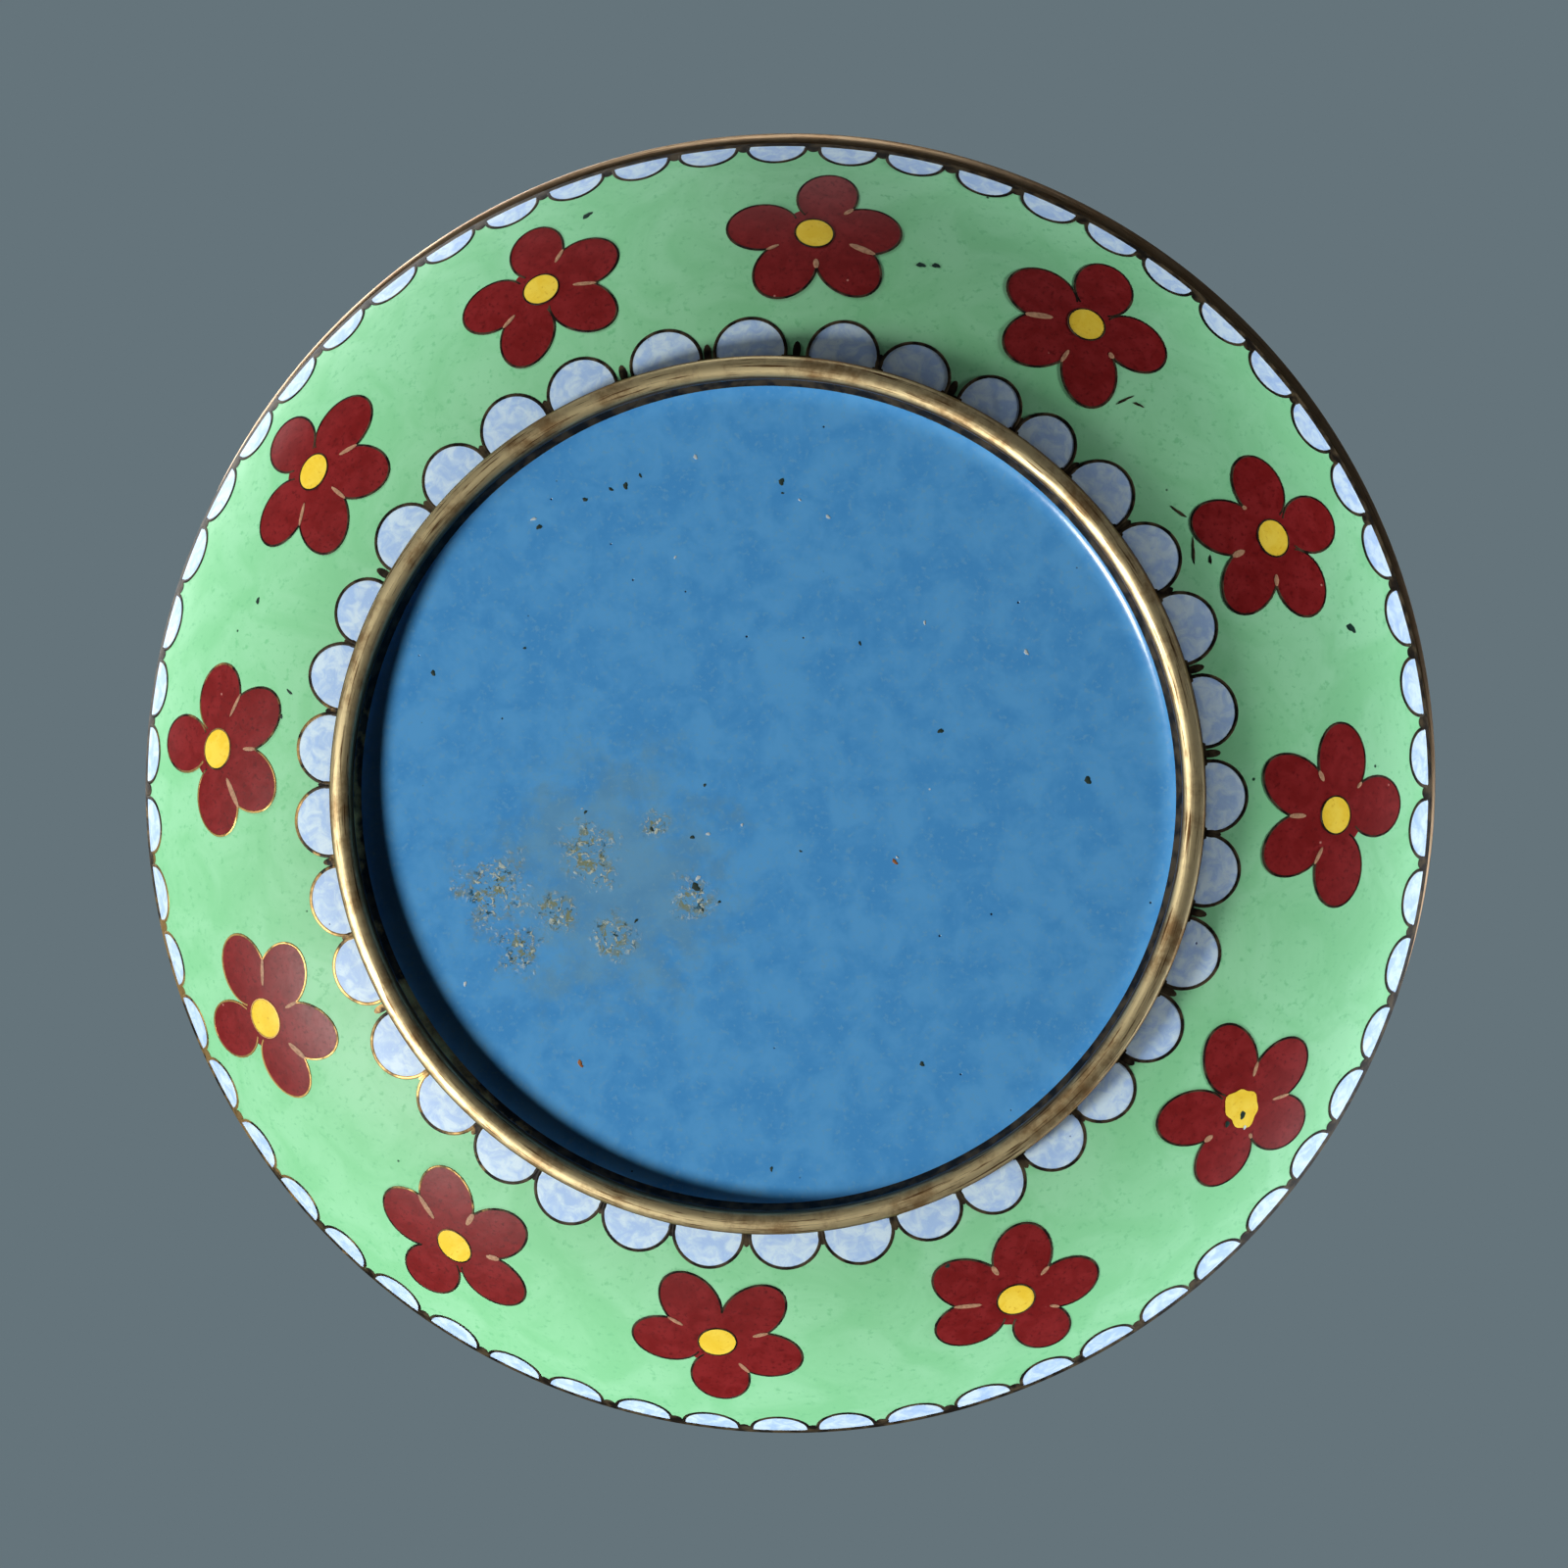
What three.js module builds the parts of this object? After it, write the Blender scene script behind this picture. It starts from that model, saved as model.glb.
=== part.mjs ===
// A round cloisonne box: an enamelled base on a foot ring, and a domed lid that lifts off.
// Millimetres, +Z up. The origin is on the table, under the middle of the foot ring.
import * as THREE from 'three';

// Sizes of the enamelled halves
const mouthRadius = 59.4;       // outer edge of the enamel at the mouth, the same on the base and the lid
const wallThickness = 2.2;      // copper and the enamel on both of its faces
const shoulderRise = 15.1;      // from the top of the foot ring up to the edge of the base
const lidRise = 22;             // from the edge of the lid up to the middle of its dome
const meniscusRadius = 2.2;     // fillet of blue enamel where the bottom meets the foot ring

// The walls follow arcs of an ellipse, measured from its lowest or highest point
const shoulderStart = THREE.MathUtils.degToRad(14.8);
const baseWallEnd = THREE.MathUtils.degToRad(64.8);
const lidWallEnd = THREE.MathUtils.degToRad(75);

// Foot ring
const footRadius = 38.5;
const footWidth = 2;
const footHeight = 3;
const footTread = 0.7;          // flat strip worn along the rounded underside

// Gilt rims of the two mouths, and the lip that keeps the lid in place
const rimWidth = 2.6;
const rimRounding = 0.5;
const baseRimHeight = 1.6;
const lidRimHeight = 2.6;
const lidRimProud = 0.45;       // the lid's rim stands out past the enamel
const lipThickness = 0.9;
const lipHeight = 2.3;          // above the seat of the lid
const lidPlay = 1.2;            // radial play of the lid's rim around the lip
const lidSlideAzimuth = THREE.MathUtils.degToRad(-80);

const seamGap = 0.3;            // clearance between pieces that rest on or sit beside each other

const facets = 72;              // around every turned piece
const arcSteps = 8;             // along a wall
const filletSteps = 3;          // along a small rounding

// Heights that follow from the sizes
const baseEdge = footHeight + shoulderRise;
const seat = baseEdge + baseRimHeight;
const lidRimFoot = seat + seamGap;
const lidEdge = lidRimFoot + lidRimHeight;
const lipOuter = mouthRadius - rimWidth - lidPlay;
const lidSlide = lidPlay - seamGap;

function point(radius, height) {
  return new THREE.Vector2(radius, height);
}

// Points of an ellipse between two angles, pushed inwards by an inset along the wall's normal.
// The ellipse runs from (startRadius, startHeight) to (endRadius, endHeight); a wall of the base opens
// upwards and a wall of the lid downwards, which the sign of the rise says.
function wallArc(start, end, startAngle, endAngle, inset) {
  const across = (end.x - start.x) / (Math.sin(endAngle) - Math.sin(startAngle));
  const along = (end.y - start.y) / (Math.cos(startAngle) - Math.cos(endAngle));
  const points = [];
  for (let step = 0; step <= arcSteps; step += 1) {
    const angle = startAngle + (endAngle - startAngle) * step / arcSteps;
    const radius = start.x + across * (Math.sin(angle) - Math.sin(startAngle));
    const height = start.y + along * (Math.cos(startAngle) - Math.cos(angle));
    const normal = point(Math.sin(angle) / across, -Math.cos(angle) / along).normalize();
    points.push(point(Math.max(radius - inset * normal.x, 0), height - inset * normal.y));
  }
  return points;
}

// A quarter round between two points, bulging towards the corner that they share.
function quarterRound(start, end, corner) {
  const points = [];
  for (let step = 0; step <= filletSteps; step += 1) {
    const angle = Math.PI / 2 * step / filletSteps;
    const fromStart = 1 - Math.sin(angle);
    const fromEnd = 1 - Math.cos(angle);
    points.push(point(
      corner.x + (start.x - corner.x) * fromStart + (end.x - corner.x) * fromEnd,
      corner.y + (start.y - corner.y) * fromStart + (end.y - corner.y) * fromEnd,
    ));
  }
  return points;
}

// Cuts the inner line of a wall off level with its outer edge.
function trimAtHeight(points, height) {
  const trimmed = [];
  for (let index = 0; index < points.length; index += 1) {
    const here = points[index];
    const before = points[index - 1];
    const isOver = (here.y - height) * (points[0].y - height) <= 0;
    if (isOver) {
      const share = (height - before.y) / (here.y - before.y);
      trimmed.push(point(before.x + (here.x - before.x) * share, height));
      return trimmed;
    }
    trimmed.push(here);
  }
  const last = points[points.length - 1];
  trimmed[trimmed.length - 1] = point(last.x, height);
  return trimmed;
}

// Turns a profile around Z and gives it a name and a finish.
function turned(name, profile, colour, roughness, metalness) {
  const geometry = new THREE.LatheGeometry(profile, facets);
  geometry.rotateX(Math.PI / 2);
  const material = new THREE.MeshStandardMaterial({ color: colour, roughness, metalness });
  const mesh = new THREE.Mesh(geometry, material);
  mesh.name = name;
  return mesh;
}

// The base: flat bottom inside the foot ring, round shoulder up to the mouth, hollow inside.
function makeBaseBowl() {
  const footInner = footRadius - footWidth - seamGap;
  const bottomStart = point(footRadius, footHeight);
  const mouth = point(mouthRadius, baseEdge);
  const outside = wallArc(bottomStart, mouth, shoulderStart, baseWallEnd, 0);
  const inside = trimAtHeight(wallArc(bottomStart, mouth, shoulderStart, baseWallEnd, wallThickness), baseEdge);
  const meniscusDepth = Math.min(meniscusRadius, footHeight / 2);
  const profile = [
    point(0, footHeight),
    ...quarterRound(
      point(footInner - meniscusRadius, footHeight),
      point(footInner, footHeight - meniscusDepth),
      point(footInner, footHeight),
    ),
    point(footInner, footHeight),
    ...outside,
    ...inside.reverse(),
    point(0, footHeight + wallThickness),
  ];
  return turned('base_bowl', profile, 0x86c795, 0.45, 0);
}

// The foot: a strip ring with its lower edges rounded over to the tread.
function makeFootRing() {
  const inner = footRadius - footWidth;
  const shoulder = (footWidth - footTread) / 2;
  const profile = [
    point(inner, footHeight),
    ...quarterRound(point(inner, shoulder), point(inner + shoulder, 0), point(inner, 0)),
    ...quarterRound(point(footRadius - shoulder, 0), point(footRadius, shoulder), point(footRadius, 0)),
    point(footRadius, footHeight),
    point(inner, footHeight),
  ];
  return turned('foot_ring', profile, 0xc9a25f, 0.32, 1);
}

// The base's rim: a band on the edge of the wall, with the lip standing up inside it.
function makeBaseRim() {
  const lipInner = lipOuter - lipThickness;
  const lipTop = seat + lipHeight;
  const profile = [
    point(lipInner, baseEdge),
    point(mouthRadius, baseEdge),
    ...quarterRound(
      point(mouthRadius, seat - rimRounding),
      point(mouthRadius - rimRounding, seat),
      point(mouthRadius, seat),
    ),
    point(lipOuter, seat),
    point(lipOuter, lipTop),
    point(lipInner, lipTop),
    point(lipInner, baseEdge),
  ];
  return turned('base_rim', profile, 0xc9a25f, 0.32, 1);
}

// The lid's rim: a rounded bead that stands a little proud of the enamel.
function makeLidRim() {
  const inner = mouthRadius - rimWidth;
  const outer = mouthRadius + lidRimProud;
  const profile = [
    point(inner, lidRimFoot),
    ...quarterRound(
      point(outer - rimRounding, lidRimFoot),
      point(outer, lidRimFoot + rimRounding),
      point(outer, lidRimFoot),
    ),
    ...quarterRound(
      point(outer, lidEdge - rimRounding),
      point(outer - rimRounding, lidEdge),
      point(outer, lidEdge),
    ),
    point(inner, lidEdge),
    point(inner, lidRimFoot),
  ];
  return turned('lid_rim', profile, 0xd4b07a, 0.3, 1);
}

// The lid: a low dome of the same wall, open below.
function makeLidDome() {
  const top = point(0, lidEdge + lidRise);
  const mouth = point(mouthRadius, lidEdge);
  const outside = wallArc(top, mouth, 0, lidWallEnd, 0);
  const inside = trimAtHeight(wallArc(top, mouth, 0, lidWallEnd, wallThickness), lidEdge);
  const profile = [...inside, ...outside.reverse()];
  return turned('lid_dome', profile, 0x86c795, 0.45, 0);
}

const box = new THREE.Group();
box.add(makeBaseBowl());
box.add(makeFootRing());
box.add(makeBaseRim());

// The lid rests loosely on its seat, slid to one side as far as its play lets it
const lid = new THREE.Group();
lid.position.set(lidSlide * Math.cos(lidSlideAzimuth), lidSlide * Math.sin(lidSlideAzimuth), 0);
lid.add(makeLidRim());
lid.add(makeLidDome());
box.add(lid);

export default box;
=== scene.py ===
# A round cloisonne box seen from below: green enamel with flowers and scallops in brass wire.
import math
import random
import bpy
import bmesh
from mathutils import Matrix, Vector


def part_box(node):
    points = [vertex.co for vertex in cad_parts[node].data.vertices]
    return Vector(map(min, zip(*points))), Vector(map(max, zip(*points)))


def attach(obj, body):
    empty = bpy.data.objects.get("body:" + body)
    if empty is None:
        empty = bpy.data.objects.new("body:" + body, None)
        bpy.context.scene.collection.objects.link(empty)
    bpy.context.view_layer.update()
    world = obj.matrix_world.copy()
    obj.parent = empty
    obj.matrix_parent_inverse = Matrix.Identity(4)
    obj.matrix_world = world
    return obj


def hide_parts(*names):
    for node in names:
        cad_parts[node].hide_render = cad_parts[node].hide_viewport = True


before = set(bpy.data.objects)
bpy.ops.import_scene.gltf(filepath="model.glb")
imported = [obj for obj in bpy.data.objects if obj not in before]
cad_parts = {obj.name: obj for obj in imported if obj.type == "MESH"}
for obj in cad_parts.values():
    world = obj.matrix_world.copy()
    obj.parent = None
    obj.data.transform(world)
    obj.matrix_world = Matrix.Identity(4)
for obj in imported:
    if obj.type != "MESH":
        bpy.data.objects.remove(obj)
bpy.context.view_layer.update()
mm = 0.001
print("frame loaded:", sorted(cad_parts))

# Sizes read back from the frame, in metres
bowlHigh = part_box("base_bowl")[1]
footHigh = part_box("foot_ring")[1]
rimLow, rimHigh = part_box("base_rim")
lidRimLow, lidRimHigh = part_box("lid_rim")
domeLow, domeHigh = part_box("lid_dome")
mouthRadius = bowlHigh[0]
footRadius = footHigh[0]
footTop = footHigh[2]
baseEdge = bowlHigh[2]
lidEdge = domeLow[2]
lidTop = domeHigh[2]
lidCentre = ((domeLow[0] + domeHigh[0]) / 2, (domeLow[1] + domeHigh[1]) / 2)

box = {
    "wall": 2.2 * mm,
    "enamelCoat": 0.9 * mm,          # the green coat with its share of the copper
    "footWidth": 2.0 * mm,
    "footRound": 0.8 * mm,           # height of its rounded crest
    "meniscus": 2.2 * mm,
    "rimWidth": 2.6 * mm,
    "rimRounding": 0.5 * mm,
    "rimBead": 1.2 * mm,             # the worn lower edge of the lid's rim
    "seatHeight": 1.6 * mm,          # of the base's gilt band
    "lidPlay": 1.2 * mm,
    "lidSink": 0.12 * mm,            # the lid's ground lies this much under the eye of its middle flower
    "lipThickness": 0.9 * mm,
    "shoulderAngles": (14.8, 64.8),  # the stretch of an ellipse that a wall follows
    "domeAngles": (0.0, 75.0),
    "turnSteps": 288,
    "wallSteps": 40,
    "roundSteps": 8,
}


def hexColour(code):
    channels = [int(code[i:i + 2], 16) / 255 for i in (1, 3, 5)]
    return tuple([c / 12.92 if c <= 0.04045 else ((c + 0.055) / 1.055) ** 2.4 for c in channels] + [1.0])


def addNode(tree, kind, inputs=None, out=0, **settings):
    node = tree.nodes.new(kind)
    for name, value in settings.items():
        setattr(node, name, value)
    for key, value in (inputs or {}).items():
        if isinstance(value, bpy.types.NodeSocket):
            tree.links.new(value, node.inputs[key])
        else:
            node.inputs[key].default_value = value
    return node.outputs[out]


def newMaterial(name):
    material = bpy.data.materials.new(name)
    material.use_nodes = True
    tree = material.node_tree
    return material, tree, tree.nodes["Principled BSDF"], addNode(tree, "ShaderNodeTexCoord", out="Object")


def perMetre(millimetres):
    return 1000 / millimetres


def speckMask(tree, place, spacing, radius, share):
    # dots of a given radius, on a share of the cells only
    near = addNode(tree, "ShaderNodeTexVoronoi", {"Vector": place, "Scale": perMetre(spacing)}, "Distance")
    dot = addNode(tree, "ShaderNodeMapRange", {"Value": near, "From Min": radius / spacing,
                                               "From Max": 0.55 * radius / spacing}, interpolation_type="SMOOTHSTEP")
    chosen = addNode(tree, "ShaderNodeSeparateColor", {"Color": near.node.outputs["Color"]})
    kept = addNode(tree, "ShaderNodeMath", {0: chosen, 1: share}, operation="LESS_THAN")
    return addNode(tree, "ShaderNodeMath", {0: dot, 1: kept}, operation="MULTIPLY")


# Vitreous enamel on copper, fired, stoned flat and waxed: satin, softly mottled, with pits from gas bubbles
def enamelMaterial(name, look):
    material, tree, shader, place = newMaterial(name)
    cloud = addNode(tree, "ShaderNodeTexNoise", {"Vector": place, "Scale": perMetre(look["cloudSize"]), "Detail": 4.0,
                                                 "Roughness": 0.6, "Distortion": look["swirl"]})
    cloud = addNode(tree, "ShaderNodeMapRange", {"Value": cloud, "From Min": 0.35, "From Max": 0.66},
                    interpolation_type="SMOOTHSTEP")
    colour = addNode(tree, "ShaderNodeMix", {0: cloud, 6: hexColour(look["colour"]), 7: hexColour(look["cloud"])},
                     2, data_type="RGBA")
    grain = addNode(tree, "ShaderNodeTexNoise", {"Vector": place, "Scale": perMetre(look["grainSize"]), "Detail": 3.0,
                                                 "Roughness": 0.65})
    flecks = addNode(tree, "ShaderNodeMapRange", {"Value": grain, "From Min": look["fleckStart"],
                                                  "From Max": look["fleckStart"] + 0.16},
                     interpolation_type="SMOOTHSTEP")
    colour = addNode(tree, "ShaderNodeMix", {0: flecks, 6: colour, 7: hexColour(look["fleck"])}, 2, data_type="RGBA")
    pits = speckMask(tree, place, *look["pits"])
    colour = addNode(tree, "ShaderNodeMix", {0: pits, 6: colour, 7: hexColour(look["pit"])}, 2, data_type="RGBA")
    tree.links.new(colour, shader.inputs["Base Color"])
    gloss = addNode(tree, "ShaderNodeMapRange", {"Value": grain, "To Min": look["roughness"] - 0.07,
                                                 "To Max": look["roughness"] + 0.1})
    tree.links.new(gloss, shader.inputs["Roughness"])
    shader.inputs["IOR"].default_value = 1.5
    shader.inputs["Specular IOR Level"].default_value = look["specular"]
    ripple = addNode(tree, "ShaderNodeTexNoise", {"Vector": place, "Scale": perMetre(look["rippleSize"]),
                                                  "Detail": 2.0})
    normal = addNode(tree, "ShaderNodeBump", {"Height": ripple, "Strength": look["ripple"], "Distance": 0.08 * mm})
    normal = addNode(tree, "ShaderNodeBump", {"Height": grain, "Strength": look["fine"], "Distance": 0.02 * mm,
                                              "Normal": normal})
    hollow = addNode(tree, "ShaderNodeMath", {0: 1.0, 1: pits}, operation="SUBTRACT")
    normal = addNode(tree, "ShaderNodeBump", {"Height": hollow, "Strength": 0.5, "Distance": 0.06 * mm,
                                              "Normal": normal})
    tree.links.new(normal, shader.inputs["Normal"])
    return material, tree, shader, place, colour, normal


# pits: spacing and radius in mm, and the share of places that have one
greenLook = {
    "colour": "#89d39c", "cloud": "#98dcab", "fleck": "#80cc95", "pit": "#1d4a33", "pits": (3.8, 0.18, 0.3),
    "cloudSize": 7.0, "swirl": 0.8, "grainSize": 0.7, "fleckStart": 0.55, "roughness": 0.46,
    "specular": 0.25,
    "rippleSize": 4.0, "ripple": 0.3, "fine": 0.35,
}
redLook = {
    "colour": "#741718", "cloud": "#842224", "fleck": "#621113", "pit": "#b8766c", "pits": (2.2, 0.14, 0.35),
    "cloudSize": 2.0, "swirl": 0.6, "grainSize": 0.4, "fleckStart": 0.53, "roughness": 0.46, "specular": 0.42,
    "rippleSize": 2.0, "ripple": 0.35, "fine": 0.4,
}
yellowLook = {
    "colour": "#f2cd3c", "cloud": "#f8d950", "fleck": "#deb22e", "pit": "#7a5a14", "pits": (2.0, 0.12, 0.3),
    "cloudSize": 1.6, "swirl": 0.6, "grainSize": 0.35, "fleckStart": 0.58, "roughness": 0.42, "specular": 0.35,
    "rippleSize": 1.6, "ripple": 0.3, "fine": 0.35,
}
lavenderLook = {
    "colour": "#aecef8", "cloud": "#d8efff", "fleck": "#c0dffc", "pit": "#5a6c9c", "pits": (2.2, 0.15, 0.25),
    "cloudSize": 1.4, "swirl": 0.7, "grainSize": 0.45, "fleckStart": 0.56, "roughness": 0.46, "specular": 0.35,
    "rippleSize": 1.8, "ripple": 0.35, "fine": 0.35,
}
blueLook = {
    "colour": "#51a4ea", "cloud": "#64b4f4", "fleck": "#6cb2ea", "pit": "#10243c", "pits": (2.4, 0.13, 0.4),
    "cloudSize": 3.6, "swirl": 0.3, "grainSize": 0.45, "fleckStart": 0.54, "roughness": 0.2, "specular": 0.5,
    "rippleSize": 6.0, "ripple": 0.4, "fine": 0.3,
}
greenEnamel = enamelMaterial("stonedGreenEnamel", greenLook)[0]
redEnamel = enamelMaterial("stonedOxbloodEnamel", redLook)[0]
yellowEnamel = enamelMaterial("stonedYellowEnamel", yellowLook)[0]
lavenderEnamel = enamelMaterial("stonedLavenderEnamel", lavenderLook)[0]

# The blue counter-enamel under the foot is left as fired, so it is glossier; rough golden spots show where it failed
wornSpots = {
    "spots": ((-15.6, 5.3, 3.2), (-24.2, 8.6, 3.8), (-22.0, 13.4, 2.6), (-18.6, 10.4, 2.2), (-13.6, 12.4, 2.4),
              (-6.4, 8.8, 2.2), (-9.9, 2.6, 1.5)),   # x, y and radius in mm
    "haze": (-14.0, 7.5, 13.0), "hazeColour": "#86a9a8", "hazeShare": 0.35,
    "ragged": 2.4, "edge": (2.3, 1.5),             # how far an edge wanders and where it fades, in radii
    "gold": "#8e9878", "scab": "#2c4a4c", "white": "#d9e2d0",
    "lumps": (("gold", 0.9, 0.52), ("scab", 0.7, 0.58), ("white", 0.5, 0.54)),   # size in mm, and where each starts
}


def blueMaterial():
    material, tree, shader, place, colour, normal = enamelMaterial("firedBlueCounterEnamel", blueLook)
    white = speckMask(tree, place, 3.6, 0.14, 0.25)
    colour = addNode(tree, "ShaderNodeMix", {0: white, 6: colour, 7: hexColour("#cfe2ee")}, 2, data_type="RGBA")
    ragged = addNode(tree, "ShaderNodeTexNoise", {"Vector": place, "Scale": perMetre(3.0), "Detail": 5.0,
                                                  "Roughness": 0.7})
    film, (outerEdge, innerEdge) = 0.0, wornSpots["edge"]
    for x, y, radius in wornSpots["spots"] + (wornSpots["haze"],):
        offset = addNode(tree, "ShaderNodeVectorMath", {0: place, 1: (x * mm, y * mm, footTop)}, operation="SUBTRACT")
        reach = addNode(tree, "ShaderNodeVectorMath", {0: offset}, "Value", operation="LENGTH")
        reach = addNode(tree, "ShaderNodeMath", {0: ragged, 1: radius * wornSpots["ragged"] * mm, 2: reach},
                        operation="MULTIPLY_ADD")
        patch = addNode(tree, "ShaderNodeMapRange", {"Value": reach, "From Min": radius * outerEdge * mm,
                                                     "From Max": radius * innerEdge * mm},
                        interpolation_type="SMOOTHSTEP")
        if radius < wornSpots["haze"][2]:
            film = addNode(tree, "ShaderNodeMath", {0: film, 1: patch}, operation="MAXIMUM")
    thin = addNode(tree, "ShaderNodeMath", {0: patch, 1: wornSpots["hazeShare"]}, operation="MULTIPLY")
    colour = addNode(tree, "ShaderNodeMix", {0: thin, 6: colour, 7: hexColour(wornSpots["hazeColour"])}, 2,
                     data_type="RGBA")
    crust = film
    for key, size, start in wornSpots["lumps"]:
        lumps = addNode(tree, "ShaderNodeTexNoise", {"Vector": place, "Scale": perMetre(size), "Detail": 4.0,
                                                     "Roughness": 0.7, "Distortion": 0.5})
        lumps = addNode(tree, "ShaderNodeMapRange", {"Value": lumps, "From Min": start, "From Max": start + 0.07})
        crust = addNode(tree, "ShaderNodeMath", {0: lumps, 1: film}, operation="MULTIPLY")
        colour = addNode(tree, "ShaderNodeMix", {0: crust, 6: colour, 7: hexColour(wornSpots[key])}, 2,
                         data_type="RGBA")
    tree.links.new(colour, shader.inputs["Base Color"])
    normal = addNode(tree, "ShaderNodeBump", {"Height": crust, "Strength": 0.6, "Distance": 0.12 * mm,
                                              "Normal": normal})
    tree.links.new(normal, shader.inputs["Normal"])
    return material


blueEnamel = blueMaterial()


# Gilt brass, turned and handled: scratches run round the ring, and the gilding is palest low down, where it is rubbed.
# On the foot's crest that pale is also a painted highlight, and the dark colour of the foot ring's sides is painted
# shade.
def giltMaterial(name, look):
    material, tree, shader, place = newMaterial(name)
    x = addNode(tree, "ShaderNodeSeparateXYZ", {"Vector": place})
    around = addNode(tree, "ShaderNodeMath", {0: x.node.outputs["Y"], 1: x}, operation="ARCTAN2")
    flat = addNode(tree, "ShaderNodeVectorMath", {0: place, 1: (1.0, 1.0, 0.0)}, operation="MULTIPLY")
    radius = addNode(tree, "ShaderNodeVectorMath", {0: flat}, "Value", operation="LENGTH")
    along = addNode(tree, "ShaderNodeMath", {0: around, 1: 0.0016}, operation="MULTIPLY")
    turned = addNode(tree, "ShaderNodeCombineXYZ", {"X": along, "Y": radius, "Z": x.node.outputs["Z"]})
    scratches = addNode(tree, "ShaderNodeTexNoise", {"Vector": turned, "Scale": perMetre(0.2), "Detail": 3.0,
                                                     "Roughness": 0.6})
    # pale low down: rubbed gilding, and on the foot's crest also a painted highlight
    paleLow = addNode(tree, "ShaderNodeMapRange", {"Value": x.node.outputs["Z"], "From Min": look["paleLow"][0] * mm,
                                                  "From Max": look["paleLow"][1] * mm}, interpolation_type="SMOOTHSTEP")
    colour = addNode(tree, "ShaderNodeMix", {0: paleLow, 6: hexColour(look["colour"]), 7: hexColour(look["pale"])}, 2,
                     data_type="RGBA")
    stain = addNode(tree, "ShaderNodeTexNoise", {"Vector": place, "Scale": perMetre(5.0), "Detail": 5.0,
                                                 "Roughness": 0.7})
    stain = addNode(tree, "ShaderNodeMapRange", {"Value": stain, "From Min": 0.42, "From Max": 0.68, "To Max": 0.8},
                    interpolation_type="SMOOTHSTEP")
    colour = addNode(tree, "ShaderNodeMix", {0: stain, 6: colour, 7: hexColour(look["stain"])}, 2, data_type="RGBA")
    streaks = addNode(tree, "ShaderNodeMapRange", {"Value": scratches, "From Min": 0.52, "From Max": 0.7},
                      interpolation_type="SMOOTHSTEP")
    colour = addNode(tree, "ShaderNodeMix", {0: streaks, 6: colour, 7: hexColour(look["streak"])}, 2, data_type="RGBA")
    tree.links.new(colour, shader.inputs["Base Color"])
    shader.inputs["Metallic"].default_value = look["metallic"]
    gloss = addNode(tree, "ShaderNodeMapRange", {"Value": scratches, "To Min": look["roughness"] - 0.08,
                                                 "To Max": look["roughness"] + 0.14})
    tree.links.new(gloss, shader.inputs["Roughness"])
    normal = addNode(tree, "ShaderNodeBump", {"Height": scratches, "Strength": 0.6, "Distance": 0.04 * mm})
    tree.links.new(normal, shader.inputs["Normal"])
    return material


# The heights in mm between which the gilding turns pale, for rubbed wear.
# On the foot ring the pale crest is also a painted highlight, and the dark base colour on the ring's sides is painted
# shade.
footLook = {
    "colour": "#6e4c28", "stain": "#9a6c3a", "streak": "#6a4826", "pale": "#fde8b4",
    "metallic": 0.85, "roughness": 0.44, "paleLow": (0.55, 0.25),
}
rimLook = {
    "colour": "#efc79c", "stain": "#e2b688", "streak": "#b08860", "pale": "#f8d6ac",
    "metallic": 1.0, "roughness": 0.42, "paleLow": (21.6, 20.4),
}
footGilt = giltMaterial("giltBrassFoot", footLook)
rimGilt = giltMaterial("giltBrassRim", rimLook)


# Brass cell wire, darkened where the gilding has gone. Low down on the side of the box that the window light comes
# from,
# it turns gold and metallic: some gilding left and a painted glint. How far a place lies that way, in metres, with a
# ragged edge, says how much.
wireLook = {
    "tarnish": ("#1b1713", "#4a4030"), "giltAndGlint": "#d8b070", "giltGlintWay": (-0.94, 0.34, -1.6),
    "giltGlintFrom": 0.055, "giltGlintTo": 0.063, "raggedEdge": 0.05,
}


def wireMaterial():
    material, tree, shader, place = newMaterial("tarnishedCellWire")
    side = addNode(tree, "ShaderNodeVectorMath", {0: place, 1: wireLook["giltGlintWay"]}, "Value",
                   operation="DOT_PRODUCT")
    ragged = addNode(tree, "ShaderNodeTexNoise", {"Vector": place, "Scale": perMetre(6.0), "Detail": 5.0,
                                                  "Roughness": 0.7})
    ragged = addNode(tree, "ShaderNodeMath", {0: ragged, 1: wireLook["raggedEdge"], 2: side}, operation="MULTIPLY_ADD")
    # gold and metallic towards the window light: gilding and a painted glint
    giltAndGlint = addNode(tree, "ShaderNodeMapRange", {"Value": ragged, "From Min": wireLook["giltGlintFrom"],
                                                   "From Max": wireLook["giltGlintTo"]})
    blotch = addNode(tree, "ShaderNodeTexNoise", {"Vector": place, "Scale": perMetre(1.2), "Detail": 3.0})
    blotch = addNode(tree, "ShaderNodeMapRange", {"Value": blotch, "From Min": 0.42, "From Max": 0.62})
    tarnish = addNode(tree, "ShaderNodeMix", {0: blotch, 6: hexColour(wireLook["tarnish"][0]),
                                               7: hexColour(wireLook["tarnish"][1])}, 2, data_type="RGBA")
    colour = addNode(tree, "ShaderNodeMix", {0: giltAndGlint, 6: tarnish, 7: hexColour(wireLook["giltAndGlint"])}, 2,
                     data_type="RGBA")
    tree.links.new(colour, shader.inputs["Base Color"])
    tree.links.new(giltAndGlint, shader.inputs["Metallic"])
    shader.inputs["Roughness"].default_value = 0.5
    shader.inputs["Specular IOR Level"].default_value = 0.15
    return material


wireBrass = wireMaterial()


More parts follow.
